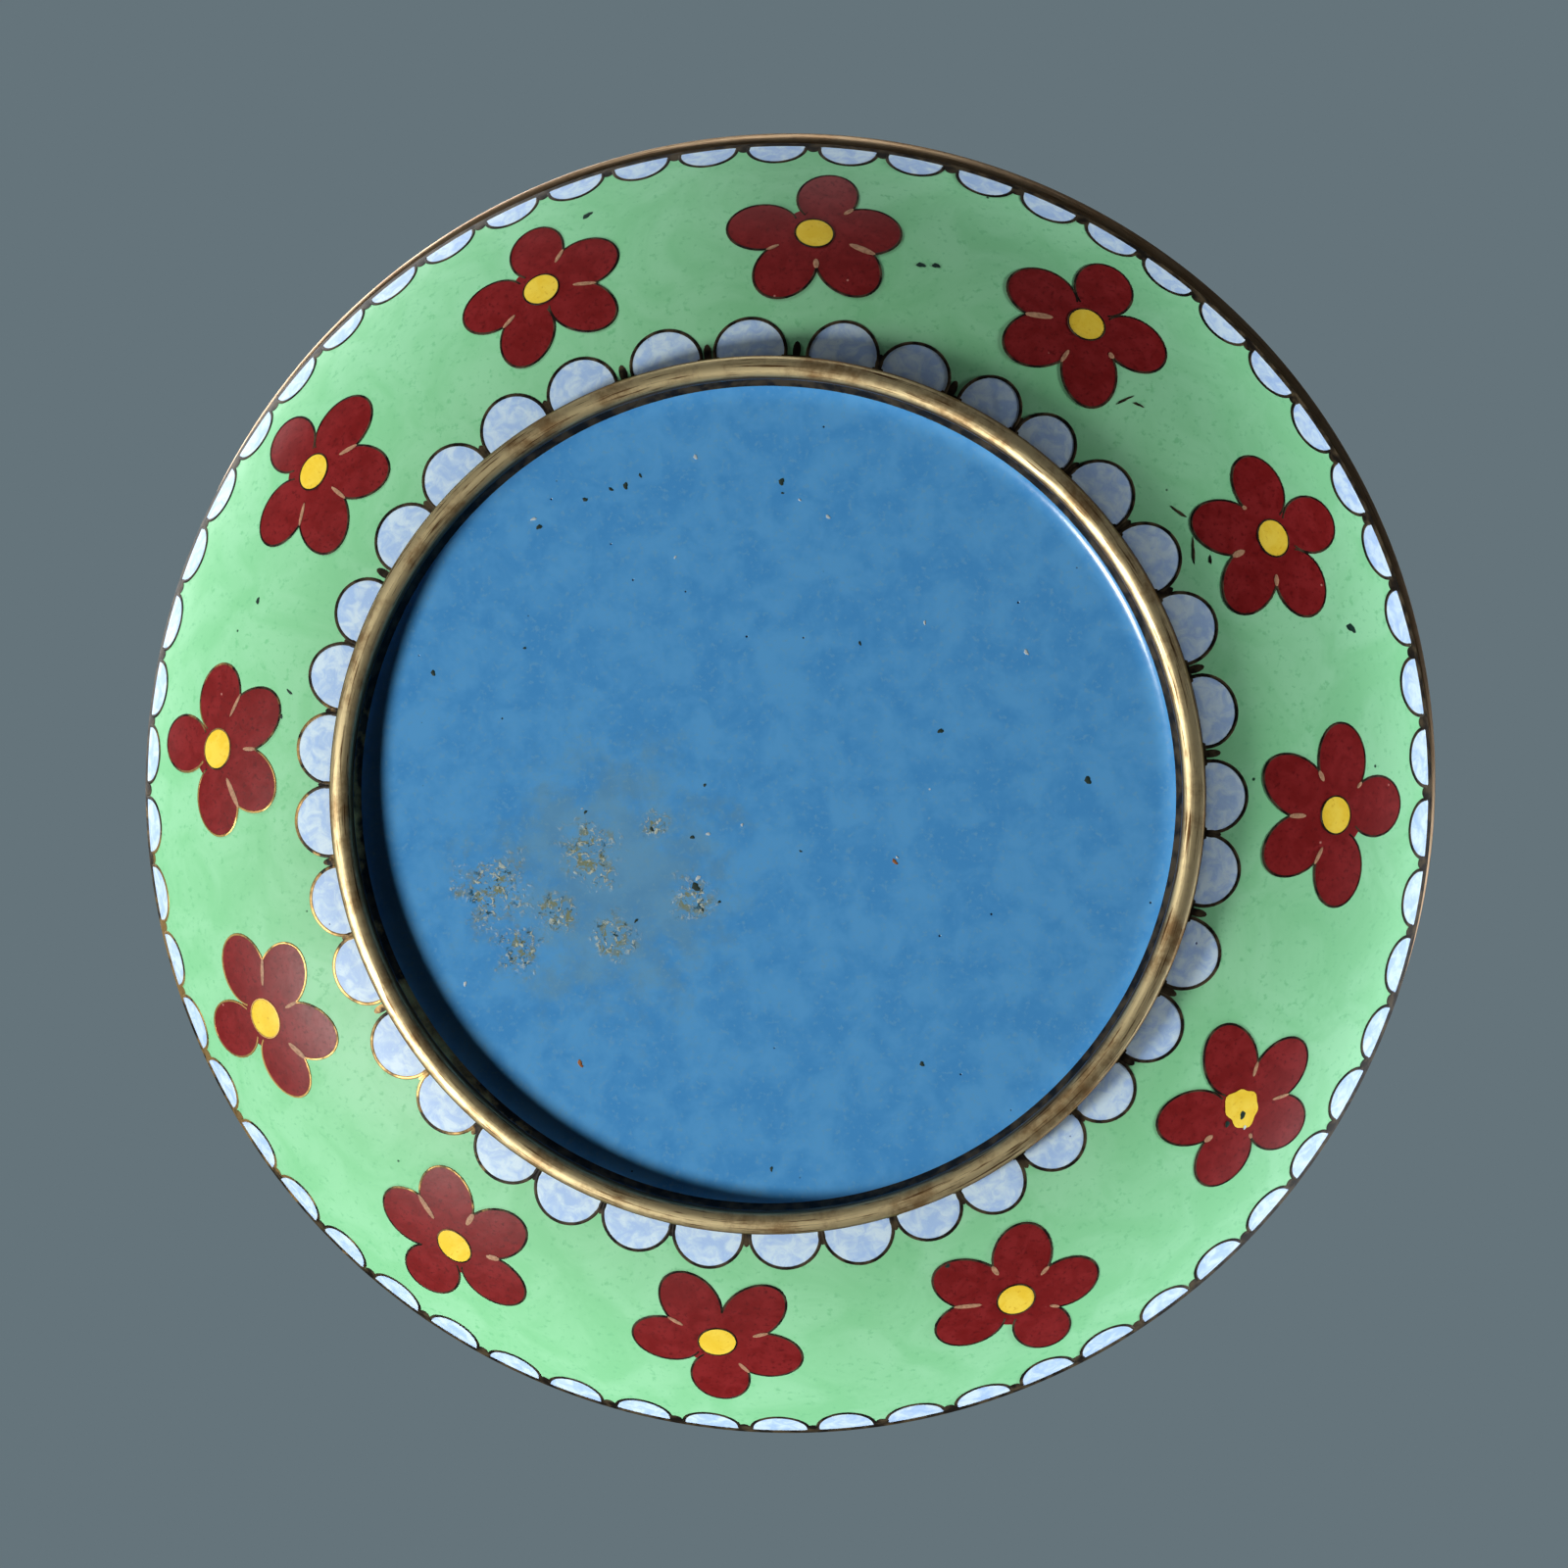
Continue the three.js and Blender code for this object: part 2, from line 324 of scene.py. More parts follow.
# Dirt and slag fired into the enamel: dull grains, pale, dark or rusty
def fleckMaterial(name, dark, light):
    material, tree, shader, place = newMaterial(name)
    grain = addNode(tree, "ShaderNodeTexNoise", {"Vector": place, "Scale": perMetre(0.3), "Detail": 3.0})
    colour = addNode(tree, "ShaderNodeMix", {0: grain, 6: hexColour(dark), 7: hexColour(light)}, 2, data_type="RGBA")
    tree.links.new(colour, shader.inputs["Base Color"])
    shader.inputs["Roughness"].default_value = 0.6
    normal = addNode(tree, "ShaderNodeBump", {"Height": grain, "Strength": 0.6, "Distance": 0.05 * mm})
    tree.links.new(normal, shader.inputs["Normal"])
    return material


darkFleck = fleckMaterial("firedInSlag", "#0e1a1c", "#24463a")
paleFleck = fleckMaterial("bareGlassChip", "#a9c4d0", "#e6f0f0")
rustFleck = fleckMaterial("rustSpot", "#7a4420", "#c07a3a")
rubbedWire = fleckMaterial("rubbedWireEnd", "#6e3c2c", "#d8ac88")
print("materials made")


def wallArc(start, end, angles, inset):
    # the wall's ellipse between two points, pushed inwards by an inset; the same form as the frame's walls
    first, last = (math.radians(a) for a in angles)
    across = (end[0] - start[0]) / (math.sin(last) - math.sin(first))
    along = (end[1] - start[1]) / (math.cos(first) - math.cos(last))
    points = []
    for step in range(box["wallSteps"] + 1):
        angle = first + (last - first) * step / box["wallSteps"]
        normal = Vector((math.sin(angle) / across, -math.cos(angle) / along)).normalized()
        radius = start[0] + across * (math.sin(angle) - math.sin(first)) - inset * normal[0]
        height = start[1] + along * (math.cos(first) - math.cos(angle)) - inset * normal[1]
        points.append((max(radius, 0.0), height))
    return points


def cutLevel(points, height):
    # the part of an inset wall up to the level of its edge
    kept = [points[0]]
    for before, here in zip(points, points[1:]):
        if (here[1] - height) * (points[0][1] - height) <= 0:
            share = (height - before[1]) / (here[1] - before[1])
            kept.append((before[0] + (here[0] - before[0]) * share, height))
            return kept
        kept.append(here)
    kept[-1] = (kept[-1][0], height)
    return kept


def quarterRound(start, end, corner):
    points = []
    for step in range(box["roundSteps"] + 1):
        angle = math.pi / 2 * step / box["roundSteps"]
        fromStart, fromEnd = 1 - math.sin(angle), 1 - math.cos(angle)
        points.append(tuple(c + (s - c) * fromStart + (e - c) * fromEnd for s, e, c in zip(start, end, corner)))
    return points


def spinProfile(name, profile, material, slot, centre=(0.0, 0.0), closed=True):
    shape = bmesh.new()
    verts = [shape.verts.new((radius, 0.0, height)) for radius, height in profile]
    for first, second in zip(verts, verts[1:]):
        shape.edges.new((first, second))
    if closed:
        shape.edges.new((verts[-1], verts[0]))
    bmesh.ops.spin(shape, geom=shape.verts[:] + shape.edges[:], cent=(0, 0, 0), axis=(0, 0, 1), dvec=(0, 0, 0),
                   angle=math.tau, steps=box["turnSteps"], use_merge=True, use_duplicate=False)
    bmesh.ops.remove_doubles(shape, verts=shape.verts, dist=0.002 * mm)
    bmesh.ops.recalc_face_normals(shape, faces=shape.faces)
    bmesh.ops.translate(shape, verts=shape.verts, vec=(centre[0], centre[1], 0))
    return finishPiece(name, shape, material, slot)


def finishPiece(name, shape, material, slot, sharpAngle=40):
    mesh = bpy.data.meshes.new(name)
    shape.to_mesh(mesh)
    shape.free()
    piece = bpy.data.objects.new(name, mesh)
    bpy.context.scene.collection.objects.link(piece)
    mesh.materials.append(material)
    mesh.shade_smooth()
    mesh.set_sharp_from_angle(angle=math.radians(sharpAngle))
    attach(piece, "root")
    return piece


# The base: a green coat outside and a blue lining inside and under the bottom, which meet inside the copper
bottomStart, baseMouth = (footRadius, footTop), (mouthRadius, baseEdge)
footInner = footRadius - box["footWidth"]
baseArc = wallArc(bottomStart, baseMouth, box["shoulderAngles"], 0.0)
baseMiddle = cutLevel(wallArc(bottomStart, baseMouth, box["shoulderAngles"], box["enamelCoat"]), baseEdge)
baseInside = cutLevel(wallArc(bottomStart, baseMouth, box["shoulderAngles"], box["wall"]), baseEdge)
baseGround = spinProfile("baseGround", [(footInner, footTop)] + baseArc + baseMiddle[::-1]
                         + [(footInner, footTop + box["enamelCoat"])], greenEnamel, "enamel_green")
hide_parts("base_bowl")
floorRound = quarterRound((footInner - box["meniscus"], footTop), (footInner, footTop / 2), (footInner, footTop))
spinProfile("baseCounterEnamel", [(0.0, footTop)] + floorRound
            + [(footInner, footTop + box["enamelCoat"])] + baseMiddle + baseInside[::-1]
            + [(0.0, footTop + box["wall"])], blueEnamel, "enamel_blue", closed=False)

# The foot ring: a strip whose rounded crest is worn to a soft tread
crest = (footInner + footRadius) / 2
footProfile = [(footInner, footTop)]
footProfile += quarterRound((footInner, box["footRound"]), (crest, 0.0), (footInner, 0.0))
footProfile += quarterRound((crest, 0.0), (footRadius, box["footRound"]), (footRadius, 0.0))[1:]
footProfile += [(footRadius, footTop)]
footRing = spinProfile("footRing", footProfile, footGilt, "gilt_brass")
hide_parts("foot_ring")

# The two gilt rims and the lip
seat = rimLow[2] + box["seatHeight"]
lipOuter = mouthRadius - box["rimWidth"] - box["lidPlay"]
lipInner = lipOuter - box["lipThickness"]
turn = box["rimRounding"]
rimProfile = [(lipInner, baseEdge), (mouthRadius, baseEdge)]
rimProfile += quarterRound((mouthRadius, seat - turn), (mouthRadius - turn, seat), (mouthRadius, seat))
rimProfile += [(lipOuter, seat), (lipOuter, rimHigh[2]), (lipInner, rimHigh[2])]
baseRim = spinProfile("baseRim", rimProfile, rimGilt, "gilt_brass")
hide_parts("base_rim")
lidRimOuter = (lidRimHigh[0] - lidRimLow[0]) / 2
lidRimInner = mouthRadius - box["rimWidth"]
lidFoot, lidRimTop = lidRimLow[2], lidRimHigh[2]
lidProfile = [(lidRimInner, lidFoot)]
lidProfile += quarterRound((lidRimOuter - box["rimBead"], lidFoot), (lidRimOuter, lidFoot + box["rimBead"]),
                           (lidRimOuter, lidFoot))
lidProfile += quarterRound((lidRimOuter, lidRimTop - turn), (lidRimOuter - turn, lidRimTop), (lidRimOuter, lidRimTop))
lidProfile += [(lidRimInner, lidRimTop)]
lidRim = spinProfile("lidRim", lidProfile, rimGilt, "gilt_brass", lidCentre)
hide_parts("lid_rim")

# The lid: the same two coats, domed
domeTop, domeMouth = (0.0, lidTop - box["lidSink"]), (mouthRadius, lidEdge)
domeArc = wallArc(domeTop, domeMouth, box["domeAngles"], 0.0)
domeMiddle = cutLevel(wallArc(domeTop, domeMouth, box["domeAngles"], box["enamelCoat"]), lidEdge)
domeInside = cutLevel(wallArc(domeTop, domeMouth, box["domeAngles"], box["wall"]), lidEdge)
lidGround = spinProfile("lidGround", domeArc + domeMiddle[::-1], greenEnamel, "enamel_green", lidCentre, closed=False)
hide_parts("lid_dome")
spinProfile("lidCounterEnamel", domeMiddle + domeInside[::-1], blueEnamel, "enamel_blue", lidCentre, closed=False)
print("turned pieces made")


def makeSkin(arc, centre, side):
    # finds a wall's point and outward normal from the distance along its profile
    lengths = [0.0]
    for first, second in zip(arc, arc[1:]):
        lengths.append(lengths[-1] + math.dist(first, second))

    def at(distance):
        distance = min(max(distance, 0.0), lengths[-1] - 1e-9)
        index = next(i for i in range(len(lengths) - 1) if lengths[i + 1] > distance)
        share = (distance - lengths[index]) / (lengths[index + 1] - lengths[index])
        first, second = Vector(arc[index]), Vector(arc[index + 1])
        heading = tangents[index].lerp(tangents[index + 1], share).normalized()
        return first.lerp(second, share), heading

    tangents = []
    for index in range(len(arc)):
        before, after = arc[max(index - 1, 0)], arc[min(index + 1, len(arc) - 1)]
        tangents.append((Vector(after) - Vector(before)).normalized())
    return {"at": at, "length": lengths[-1], "centre": centre, "side": side}


def wrap(skin, azimuth, distance, point, lift):
    # bends a flat point (along the ring, along the profile, proud) onto a wall, or round its middle if there is no
    # distance
    if distance is None:
        reach, angle = math.hypot(point[0], point[1]), azimuth + math.atan2(point[1], point[0])
    else:
        reach = distance + point[1]
        angle = azimuth + point[0] / skin["at"](reach)[0][0]
    onArc, heading = skin["at"](reach)
    proud = point[2] + lift
    radius, height = onArc[0] + heading[1] * skin["side"] * proud, onArc[1] - heading[0] * skin["side"] * proud
    return Vector((radius * math.cos(angle) + skin["centre"][0], radius * math.sin(angle) + skin["centre"][1], height))


cells = {
    "sides": 36, "inset": (0.1, 0.25, 0.3), "top": 0.035 * mm, "crown": 0.02 * mm, "root": 0.25 * mm,
    "wireWidth": 0.33 * mm, "wireTop": 0.07 * mm, "wireRoot": 0.15 * mm, "offsetScale": 40.0,
}


def discTemplate(sides):
    # a low closed disc of unit radius: its top is in rings so that it can bend with a wall
    shape = bmesh.new()
    made = bmesh.ops.create_circle(shape, cap_ends=True, segments=sides, radius=1.0)
    bmesh.ops.translate(shape, verts=made["verts"], vec=(0, 0, -cells["root"]))
    lifted = bmesh.ops.extrude_face_region(shape, geom=shape.faces[:], use_keep_orig=True)
    top = [f for f in lifted["geom"] if isinstance(f, bmesh.types.BMFace)]
    bmesh.ops.translate(shape, verts=top[0].verts, vec=(0, 0, cells["root"] + cells["top"]))
    for thickness in cells["inset"]:
        bmesh.ops.inset_region(shape, faces=top, thickness=thickness, use_even_offset=True)
        bmesh.ops.translate(shape, verts=top[0].verts, vec=(0, 0, cells["crown"] / len(cells["inset"])))
    bmesh.ops.poke(shape, faces=top)
    bmesh.ops.recalc_face_normals(shape, faces=shape.faces)
    mesh = bpy.data.meshes.new("discTemplate")
    shape.to_mesh(mesh)
    shape.free()
    return mesh


def wireTemplate(steps, closed, width=1.0):
    # a wire round the unit circle, or round half of it; its width is scaled up so that it can be read back as an offset
    half, root, top = cells["wireWidth"] / 2 * width, -cells["wireRoot"], cells["wireTop"]
    side, flat = top * 0.4, half * 0.55
    section = [(-half, root), (half, root), (half, side), (flat, top), (-flat, top), (-half, side)]
    shape = bmesh.new()
    verts = [shape.verts.new((1 + across * cells["offsetScale"], 0, height)) for across, height in section]
    for first, second in zip(verts, verts[1:] + verts[:1]):
        shape.edges.new((first, second))
    bmesh.ops.rotate(shape, verts=verts, cent=(0, 0, 0), matrix=Matrix.Rotation(-math.pi / 2, 3, "Z"))
    bmesh.ops.spin(shape, geom=shape.verts[:] + shape.edges[:], cent=(0, 0, 0), axis=(0, 0, 1), dvec=(0, 0, 0),
                   angle=math.tau if closed else math.pi, steps=steps, use_merge=closed, use_duplicate=False)
    if not closed:
        bmesh.ops.holes_fill(shape, edges=shape.edges, sides=0)
    bmesh.ops.recalc_face_normals(shape, faces=shape.faces)
    mesh = bpy.data.meshes.new("wireTemplate")
    shape.to_mesh(mesh)
    shape.free()
    return mesh


def stamp(target, template, move):
    first = len(target.verts)
    target.from_mesh(template)
    target.verts.ensure_lookup_table()
    for vert in target.verts[first:]:
        vert.co = move(vert.co)


def stampCell(target, template, outline, at, middle=(0.0, 0.0), lift=0.0):
    # fills an outline round its middle: the template's polar place becomes a place inside the outline
    def move(point):
        reach = math.hypot(point[0], point[1])
        edgePoint = outline(math.atan2(point[1], point[0]))
        flat = [m + (e - m) * reach for m, e in zip(middle, edgePoint)]
        return wrap(*at, (flat[0], flat[1], point[2]), lift)
    stamp(target, template, move)


def stampWire(target, template, outline, at, span=None, lift=0.0):
    # lays a wire along an outline, all round or over a span of its angles
    def move(point):
        offset = (math.hypot(point[0], point[1]) - 1) / cells["offsetScale"]
        angle = math.atan2(point[1], point[0])
        if span:
            angle = span[0] + (angle / math.pi + 0.5) * (span[1] - span[0])
        here, ahead, behind = (Vector(outline(angle + turn)) for turn in (0, 0.02, -0.02))
        heading = (ahead - behind).normalized()
        edgePoint = here + Vector((heading[1], -heading[0])) * offset
        return wrap(*at, (edgePoint[0], edgePoint[1], point[2]), lift)
    stamp(target, template, move)


disc, fineDisc, dot = discTemplate(cells["sides"]), discTemplate(150), discTemplate(12)
openWire, petalWire, ringWire = wireTemplate(26, False), wireTemplate(26, False, 0.65), wireTemplate(36, True, 0.5)
print("templates made")

# Flowers: five petals that run together in one cell with a lobed outline, a pinch of wire between each two, and a
# yellow eye
flower = {
    "petalReach": 4.75 * mm, "petalLength": 3.28 * mm, "petalWidth": 2.66 * mm, "middle": 3.0 * mm,
    "pinchEnd": 3.0 * mm, "pinchWidth": 0.23 * mm, "pinchLift": 0.04 * mm,
    "eye": 1.72 * mm, "eyeLift": 0.04 * mm, "seed": 7,
}


def petalPoint(petal, angle):
    heading, reach, long, wide = petal
    x, y = reach + long * math.cos(angle), wide * math.sin(angle)
    return x * math.cos(heading) - y * math.sin(heading), x * math.sin(heading) + y * math.cos(heading)


def insidePetal(petal, point):
    heading, reach, long, wide = petal
    x = point[0] * math.cos(heading) + point[1] * math.sin(heading) - reach
    y = point[1] * math.cos(heading) - point[0] * math.sin(heading)
    return (x / long) ** 2 + (y / wide) ** 2 < 1


def flowerOutline(petals):
    def outline(angle):
        far = flower["middle"]
        for heading, reach, long, wide in petals:
            c, s = math.cos(angle - heading), math.sin(angle - heading)
            a = (c / long) ** 2 + (s / wide) ** 2
            b = reach * c / long ** 2
            gap = b * b - a * ((reach / long) ** 2 - 1)
            if gap > 0 and c > 0:
                far = max(far, (b + math.sqrt(gap)) / a)
        return far * math.cos(angle), far * math.sin(angle)
    return outline


def ellipseOutline(halfWidth, halfHeight, turnAngle=0.0, middle=(0.0, 0.0), ragged=0.0):
    def outline(angle):
        wave = 1 + ragged * (0.5 * math.sin(2 * angle + 0.6) + 0.6 * math.sin(3 * angle + 2)
                             + 0.4 * math.sin(7 * angle))
        x, y = halfWidth * wave * math.cos(angle), halfHeight * wave * math.sin(angle)
        return (middle[0] + x * math.cos(turnAngle) - y * math.sin(turnAngle),
                middle[1] + x * math.sin(turnAngle) + y * math.cos(turnAngle))
    return outline


def addFlower(layers, at, headings, size, rng, broken=False):
    petals = [(heading, flower["petalReach"] * size * rng.uniform(0.97, 1.03),
               flower["petalLength"] * size * rng.uniform(0.96, 1.04),
               flower["petalWidth"] * size * rng.uniform(0.96, 1.05)) for heading in sorted(headings)]
    stampCell(layers["red"], fineDisc, flowerOutline(petals), at)
    for before, petal, after in zip(petals[-1:] + petals, petals, petals[1:] + petals[:1]):
        ends = []
        for way, other in ((-1, before), (1, after)):
            # where this petal's edge runs into its neighbour
            angle = next((a for a in range(40, 150, 2)
                          if insidePetal(other, petalPoint(petal, way * math.radians(a)))), 150)
            ends.append(way * math.radians(angle))
        stampWire(layers["wire"], petalWire, lambda a, p=petal: petalPoint(p, a), at, ends)
        notch = Vector(petalPoint(petal, ends[1]))
        outer, inner = notch.length + 0.25 * mm, flower["pinchEnd"] * rng.uniform(0.95, 1.2)
        if outer - inner > 0.3 * mm:
            middle = notch.normalized() * (outer + inner) / 2
            pinch = ellipseOutline((outer - inner) / 2, flower["pinchWidth"] * rng.uniform(0.7, 1.3),
                                   math.atan2(notch[1], notch[0]), middle)
            stampCell(layers["ends"], dot, pinch, at, middle, flower["pinchLift"])
    if broken:
        eye = ellipseOutline(flower["eye"] * 1.12, flower["eye"] * 0.95, 0.9, ragged=0.13)
        stampCell(layers["yellow"], disc, eye, at, lift=1.5 * flower["eyeLift"])
        for layer, x, y, reach in (("dark", 0.5, 0.45, 0.4), ("dark", 1.9, -0.35, 0.3), ("pale", 1.35, 1.5, 0.2)):
            place = (x * mm, y * mm)
            stampCell(layers[layer], dot, ellipseOutline(reach * mm, reach * 0.7 * mm, 0.4, place, 0.2), at, place,
                      0.08 * mm)
    else:
        eye = ellipseOutline(flower["eye"] * rng.uniform(0.98, 1.08), flower["eye"] * rng.uniform(0.9, 1.0),
                             rng.uniform(-0.5, 0.5))
        stampCell(layers["yellow"], disc, eye, at, lift=flower["eyeLift"])
        stampWire(layers["wire"], ringWire, eye, at, lift=flower["eyeLift"])


# Scallops: arches of wire that stand on the foot ring, and lower ones along the rim with dark joints between them
scallop = {
    "foot": 0.75 * mm, "innerMost": 3.15 * mm, "innerHeight": 3.8 * mm, "post": (0.36 * mm, 0.88 * mm),
    "outerFoot": 1.15 * mm, "outerWidth": 2.64 * mm, "outerHeight": 3.9 * mm, "outerLow": 0.8 * mm,
    # the last width is that of the band of painted shade inside the foot ring
    "joint": (0.62 * mm, 0.95 * mm), "rimLine": (0.05 * mm, 0.85 * mm), "footLine": 0.3 * mm, "cornerShade": 0.6 * mm,
}


def archOutline(halfWidth, height, foot, low, way):
    # a round arch above its foot line, and below it a flat side
    def outline(angle):
        y = (height - foot) * math.sin(angle)
        return halfWidth * math.cos(angle) * way, max(y, low - foot) * way
    return outline


def addInnerScallop(layers, skin, azimuth, halfWidth, height):
    at = (skin, azimuth, scallop["foot"])
    outline = archOutline(halfWidth, height, scallop["foot"], 0.02 * mm, 1)
    stampCell(layers["lavender"], disc, outline, at)
    end = math.asin(scallop["foot"] / (height - scallop["foot"])) * 0.97
    arch = archOutline(halfWidth, height, scallop["foot"], -mm, 1)
    stampWire(layers["wire"], openWire, arch, at, (-end, math.pi + end))


def addOuterScallop(layers, skin, azimuth, halfWidth, height):
    at = (skin, azimuth, skin["length"] - scallop["outerFoot"])
    outline = archOutline(halfWidth, height, scallop["outerFoot"], scallop["outerLow"], -1)
    stampCell(layers["lavender"], disc, outline, at)
    stampWire(layers["wire"], openWire, outline, at, (-0.3, math.pi + 0.3))


def addJoint(layers, skin, azimuth):
    wide, high = scallop["joint"]
    stampCell(layers["wire"], disc, ellipseOutline(wide, high), (skin, azimuth, skin["length"] - high * 1.02))


def addEdgeLine(name, skin, near, far):
    # a dark line of solder between the enamel and the gilt
    root, top = -cells["wireRoot"], cells["wireTop"] * 0.6
    profile = [(far, root), (near, root), (near, top), (far, top)]
    points = []
    for distance, proud in profile:
        onArc, heading = skin["at"](distance)
        points.append((onArc[0] + heading[1] * skin["side"] * proud, onArc[1] - heading[0] * skin["side"] * proud))
    spinProfile(name, points, wireBrass, "cell_wire", skin["centre"])


layerFinish = {
    "red": ("Petals", redEnamel, "enamel_red"),
    "yellow": ("FlowerEyes", yellowEnamel, "enamel_yellow"),
    "lavender": ("Scallops", lavenderEnamel, "enamel_lavender"),
    "wire": ("CellWires", wireBrass, "cell_wire"),
    "ends": ("WireEnds", rubbedWire, "cell_wire"),
    "dark": ("SlagFlecks", darkFleck, "enamel_green"),
    "pale": ("PaleFlecks", paleFleck, "enamel_blue"),
    "rust": ("RustFlecks", rustFleck, "enamel_blue"),
}


def newLayers():
    return {name: bmesh.new() for name in layerFinish}


def finishLayers(layers, prefix):
    for key, (suffix, material, slot) in layerFinish.items():
        if len(layers[key].verts):
            finishPiece(prefix + suffix, layers[key], material, slot)
        else:
            layers[key].free()


# The base's pattern, with angles in degrees counted the way that the photo shows them, from its right over its top.
# Each flower has its place round the ring, its distance from the foot in mm, and the headings of its petals.
basePattern = {
    "flowers": (
        (27, 12.6, (103, 22, -55, 243, 166)), (56, 12.9, (142, 65, -19, -85, 197)),
        (85.5, 12.7, (75, 5, -43, 232, 169)), (114.5, 12.1, (103, 35, -20, 255, 196)),
        (145, 13.2, (60, 135, 229, -75, 0)), (175.5, 13.1, (91, 39, -41, -93, 173)),
        (204, 12.9, (118, 66, -15, -70, 200)), (235, 12.5, (98, 17, -45, 226, 149)),
        (264.5, 11.9, (-90, -19, 38, 123, 180)), (296, 12.8, (80, 16, -52, 212, 162)),
        (326.5, 13.0, (101, 41, -26, 253, 192)), (358, 12.8, (80, 142, 10, -84, 217)),
    ),
    "foreshortening": 0.82,
    "broken": 326.5,
    "innerAngles": (0, 11, 22, 32, 42, 51.5, 60, 70.5, 80, 92, 103, 114.5, 124.5, 134.5, 144.5, 155.5, 164.5, 174,
                    183.5, 194, 203.5, 214.5, 224, 234, 243.5, 253, 262.5, 272.5, 282, 291.5, 300.5, 310, 319, 329,
                    339.5, 350.5),
    "outerCount": 58, "outerFirst": 270.0,
}
baseSkin = makeSkin(baseArc, (0.0, 0.0), 1)
rng = random.Random(flower["seed"])
baseLayers = newLayers()
for angle, distance, headings in basePattern["flowers"]:
    local = []
    for heading in headings:
        turned = math.radians(heading - angle + 90)
        local.append(math.atan2(math.sin(turned) / basePattern["foreshortening"], math.cos(turned)))
    addFlower(baseLayers, (baseSkin, -math.radians(angle), distance * mm), local, rng.uniform(0.97, 1.02), rng,
              angle == basePattern["broken"])
angles = basePattern["innerAngles"]
for before, angle, after in zip((angles[-1] - 360,) + angles, angles, angles[1:] + (360,)):
    room = math.radians(min(angle - before, after - angle)) / 2 * (footRadius + scallop["foot"])
    halfWidth = min(room - 0.4 * cells["wireWidth"], scallop["innerMost"])
    addInnerScallop(baseLayers, baseSkin, -math.radians(angle), halfWidth,
                    scallop["innerHeight"] * rng.uniform(0.94, 1.06))
    stampCell(baseLayers["wire"], dot, ellipseOutline(*scallop["post"]),
              (baseSkin, -math.radians((angle + after) / 2), scallop["post"][1] - scallop["footLine"] / 2))
for index in range(basePattern["outerCount"]):
    step = math.tau / basePattern["outerCount"]
    azimuth = step * (index + rng.uniform(-0.03, 0.03)) - math.radians(basePattern["outerFirst"])
    addOuterScallop(baseLayers, baseSkin, azimuth, scallop["outerWidth"] * rng.uniform(0.97, 1.02),
                    scallop["outerHeight"] * rng.uniform(0.94, 1.06))
    addJoint(baseLayers, baseSkin, step * (index + 0.5) - math.radians(basePattern["outerFirst"]))
nearRim, farFromRim = scallop["rimLine"]
addEdgeLine("baseRimLine", baseSkin, baseSkin["length"] - nearRim, baseSkin["length"] - farFromRim)
addEdgeLine("baseFootLine", baseSkin, scallop["footLine"], 0.0)

# A dark band of painted shade in the corner between the blue enamel's fillet and the inside of the foot ring
cornerShadeTurn = math.acos(1 - scallop["cornerShade"] / box["meniscus"])
cornerShadeTop = footTop * (1 + math.sin(math.pi / 2 - cornerShadeTurn)) / 2
cornerShadeBack = footInner + 0.1 * mm
spinProfile("footCornerShade", [(footInner - scallop["cornerShade"], cornerShadeTop), (cornerShadeBack, footTop * 0.45),
                             (cornerShadeBack, footTop * 0.9)], wireBrass, "cell_wire")

# Flaws of the firing. On the wall: angle, distance from the foot, half length, half width and turn. On the plate: x, y
# and radius.
flaws = {
    "wallDark": ((108, 19, 0.5, 0.3, 20), (74, 11.2, 0.4, 0.25, 0), (72.5, 11.6, 0.35, 0.25, 0),
                 (16, 17.3, 0.55, 0.35, 40), (291, 6.5, 0.35, 0.3, 0), (159.5, 12, 0.3, 0.2, 0),
                 (168, 5.6, 0.35, 0.12, 60), (171, 6.0, 0.2, 0.15, 0)),
    "wallScraps": ((29.8, 4.9, 1.1, 0.13, 150), (28.0, 5.9, 0.35, 0.14, 150), (34.5, 5.7, 0.8, 0.14, 200),
                   (47.9, 9.0, 0.9, 0.12, 70), (46.5, 9.6, 0.5, 0.12, 20), (86.6, 14.9, 0.6, 0.1, 60),
                   (359.4, 14.6, 0.55, 0.1, 100)),
    "plateDark": ((-6.2, 8.1, 0.41), (1.4, -27.6, 0.30), (1.5, -26.6, 0.15), (-12.4, -27.3, 0.30), (-13.7, -27.0, 0.22),
                  (-11.1, -28.2, 0.19), (-16.0, -26.1, 0.22), (-20.1, -23.7, 0.26), (-27.3, -23.3, 0.22),
                  (15.4, -5.7, 0.26), (8.3, -13.4, 0.19), (-21.4, -13.0, 0.15), (-29.6, -10.8, 0.26),
                  (-10.1, 3.0, 0.22), (3.1, 4.9, 0.15), (28.3, -1.4, 0.34), (13.8, 23.6, 0.22), (0.5, 33.0, 0.22),
                  (-5.6, 10.1, 0.15), (-4.1, 9.4, 0.14), (-5.4, -0.9, 0.15), (-6.5, 3.7, 0.19), (-16.0, 1.5, 0.17),
                  (-11.5, 11.1, 0.22)),
    "platePale": ((-6.0, 7.3, 0.26), (-6.2, -29.8, 0.22), (-20.6, -24.4, 0.26), (14.0, -15.2, 0.19),
                  (22.9, -12.6, 0.26), (-5.1, 3.4, 0.19), (-8.0, -21.0, 0.15), (-26.8, 16.8, 0.22),
                  (5.5, -24.5, 0.22), (3.0, -26.0, 0.15), (-2.1, 2.6, 0.14), (-16.3, 1.2, 0.11), (-9.6, 2.4, 0.14),
                  (11.6, 5.4, 0.15)),
    "plateRust": ((-16.5, 23.8, 0.35), (11.4, 5.8, 0.3)),
}
plateSkin = makeSkin([(0.0, footTop), (footInner, footTop)], (0.0, 0.0), 1)
